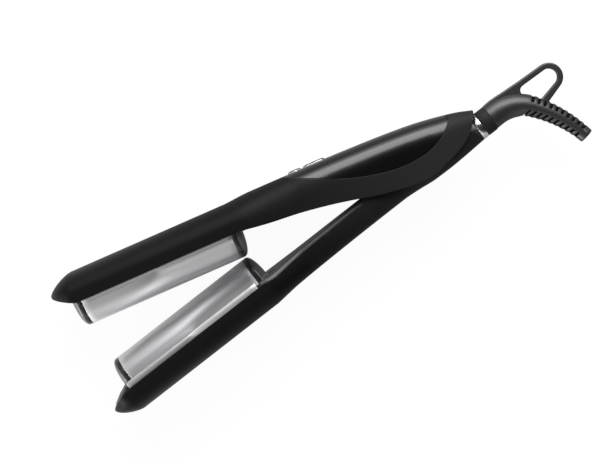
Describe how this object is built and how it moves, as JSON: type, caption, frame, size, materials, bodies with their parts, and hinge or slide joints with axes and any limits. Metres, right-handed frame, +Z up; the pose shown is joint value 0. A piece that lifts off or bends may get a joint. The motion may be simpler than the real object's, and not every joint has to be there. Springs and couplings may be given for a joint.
{
  "type": "hair crimper",
  "caption": "Hair crimper with hinged arms whose deep wave plates mesh barrel in trough, push buttons, and a swivelling cord relief with a hanging loop.",
  "frame": {"origin": "centre of the bounding box on the surface that the tool lies on, with its side down", "axes": "+X along the lower arm towards the cord, +Y from the lower arm towards the open upper arm, +Z up along the hinge pin"},
  "size_m": [0.3642, 0.1379, 0.06],
  "materials": {
    "matt_shell": "fine matt moulded texture",
    "satin_cover": "satin",
    "gloss_insert": "high gloss",
    "cap_black": "semi-gloss, heat resistant",
    "wave_alloy": "fine brushed",
    "plain_alloy": "as extruded",
    "chrome": "polished",
    "steel": "bright",
    "bearing_plastic": "natural",
    "ceramic": "unglazed ceramic",
    "lead_sleeve": "woven glass sleeve",
    "board": "solder mask",
    "lamp": "clear",
    "relief_rubber": "satin",
    "button_grey": "satin"
  },
  "bodies": {
    "lower_arm": {"lower_shell": "matt_shell", "lower_handle_cover": "satin_cover", "lower_nose_cover": "satin_cover", "lower_wave_plate": "wave_alloy", "lower_front_cap": "cap_black", "lower_rear_cap": "cap_black", "lower_heat_spreader": "plain_alloy", "lower_heater": "ceramic", "lower_heater_clamp": "steel", "lower_leads": "lead_sleeve", "lower_screws": "steel", "hinge_bushes": "bearing_plastic", "opening_spring": "steel", "chrome_ring": "chrome", "swivel_socket": "bearing_plastic"},
    "upper_arm": {"upper_shell": "matt_shell", "gloss_insert": "gloss_insert", "upper_handle_cover": "satin_cover", "upper_nose_cover": "satin_cover", "upper_wave_plate": "wave_alloy", "upper_front_cap": "cap_black", "upper_rear_cap": "cap_black", "upper_heat_spreader": "plain_alloy", "upper_heater": "ceramic", "upper_heater_clamp": "steel", "upper_leads": "lead_sleeve", "upper_screws": "steel", "thermal_fuse": "ceramic", "hinge_pin": "steel", "circuit_board": "board", "tact_switches": "button_grey", "indicator_lamps": "lamp", "board_screws": "steel", "rocker_pin": "steel"},
    "power_key": {"power_button": "button_grey"},
    "temperature_rocker": {"temperature_button": "button_grey"},
    "cord_swivel": {"swivel_collar": "matt_shell", "swivel_clip": "steel", "strain_relief": "relief_rubber"}
  },
  "joints": [
    {"name": "arm_hinge", "type": "hinge", "parent": "lower_arm", "child": "upper_arm", "pos_m": [0.0749, -0.0202, 0.03], "axis": [0, 0, 1], "range_deg": [0, 14.3], "stiffness_Nm_per_rad": 1.5, "springref_deg": -28.65},
    {"name": "power_press", "type": "slide", "parent": "upper_arm", "child": "power_key", "axis": [-0.247, -0.969, 0], "range_m": [0, 0.0006], "stiffness_N_per_m": 2500, "springref_m": -0.0002},
    {"name": "temperature_rock", "type": "hinge", "parent": "upper_arm", "child": "temperature_rocker", "pos_m": [0.02008, 0.02588, 0.03], "axis": [0, 0, 1], "range_deg": [-3, 3], "stiffness_Nm_per_rad": 0.15},
    {"name": "cord_turn", "type": "hinge", "parent": "lower_arm", "child": "cord_swivel", "pos_m": [0.1169, -0.0202, 0.03], "axis": [1, 0, 0], "continuous": true}
  ]
}
